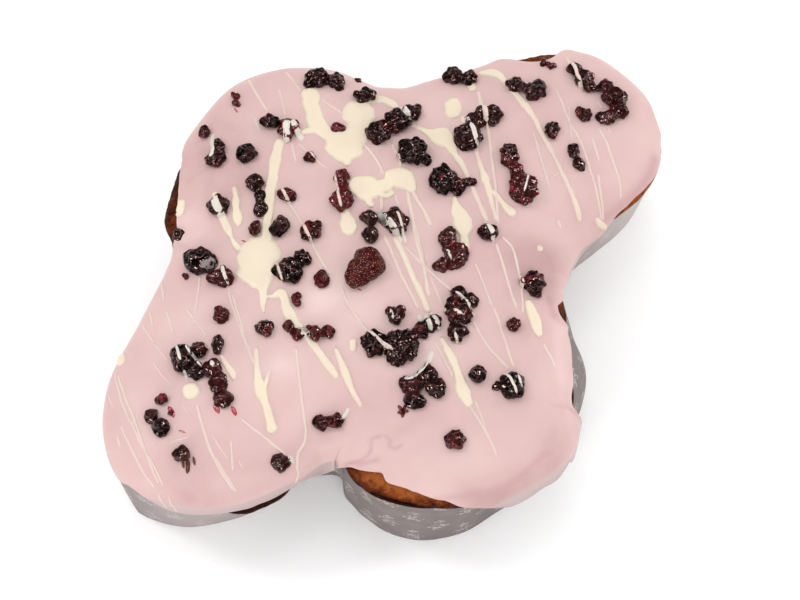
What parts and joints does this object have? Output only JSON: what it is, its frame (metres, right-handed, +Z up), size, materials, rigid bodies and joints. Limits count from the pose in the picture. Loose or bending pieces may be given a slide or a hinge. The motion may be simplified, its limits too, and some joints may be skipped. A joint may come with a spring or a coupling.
{
  "type": "colomba easter cake",
  "caption": "Dove-shaped Easter cake in a low paper case, with pale draped icing, cream drizzle and scattered candied berries.",
  "frame": {"origin": "under the middle of the whole cake, on the surface that it stands on", "axes": "+X from the dove's tail to its head, +Y towards its far wing, +Z up"},
  "size_m": [0.2974, 0.2338, 0.0881],
  "materials": {
    "paper": "matt baking paper with a faint pale ornament",
    "crust": "browned crust, matt and uneven",
    "icing": "smooth glossy set icing",
    "dark_berry": "glossy wrinkled candied skin",
    "red_berry": "glossy wrinkled candied skin",
    "strawberry": "glossy candied skin with pale seeds"
  },
  "bodies": {
    "root": {"paper_case": "paper", "cake": "crust", "icing": "icing", "dark_berry_01": "dark_berry", "dark_berry_02": "dark_berry", "dark_berry_03": "dark_berry", "dark_berry_04": "dark_berry", "dark_berry_05": "dark_berry", "dark_berry_06": "dark_berry", "dark_berry_07": "dark_berry", "dark_berry_08": "dark_berry", "dark_berry_09": "dark_berry", "dark_berry_10": "dark_berry", "dark_berry_11": "dark_berry", "dark_berry_12": "dark_berry", "dark_berry_13": "dark_berry", "dark_berry_14": "dark_berry", "dark_berry_15": "dark_berry", "dark_berry_16": "dark_berry", "dark_berry_17": "dark_berry", "dark_berry_18": "dark_berry", "dark_berry_19": "dark_berry", "dark_berry_20": "dark_berry", "dark_berry_21": "dark_berry", "dark_berry_22": "dark_berry", "dark_berry_23": "dark_berry", "dark_berry_24": "dark_berry", "dark_berry_25": "dark_berry", "dark_berry_26": "dark_berry", "dark_berry_27": "dark_berry", "dark_berry_28": "dark_berry", "dark_berry_29": "dark_berry", "dark_berry_30": "dark_berry", "dark_berry_31": "dark_berry", "dark_berry_32": "dark_berry", "dark_berry_33": "dark_berry", "dark_berry_34": "dark_berry", "dark_berry_35": "dark_berry", "dark_berry_36": "dark_berry", "red_berry_01": "red_berry", "red_berry_02": "red_berry", "red_berry_03": "red_berry", "red_berry_04": "red_berry", "red_berry_05": "red_berry", "red_berry_06": "red_berry", "red_berry_07": "red_berry", "red_berry_08": "red_berry", "red_berry_09": "red_berry", "red_berry_10": "red_berry", "red_berry_11": "red_berry", "red_berry_12": "red_berry", "red_berry_13": "red_berry", "red_berry_14": "red_berry", "red_berry_15": "red_berry", "red_berry_16": "red_berry", "red_berry_17": "red_berry", "red_berry_18": "red_berry", "red_berry_19": "red_berry", "red_berry_20": "red_berry", "strawberry": "strawberry"}
  },
  "joints": []
}
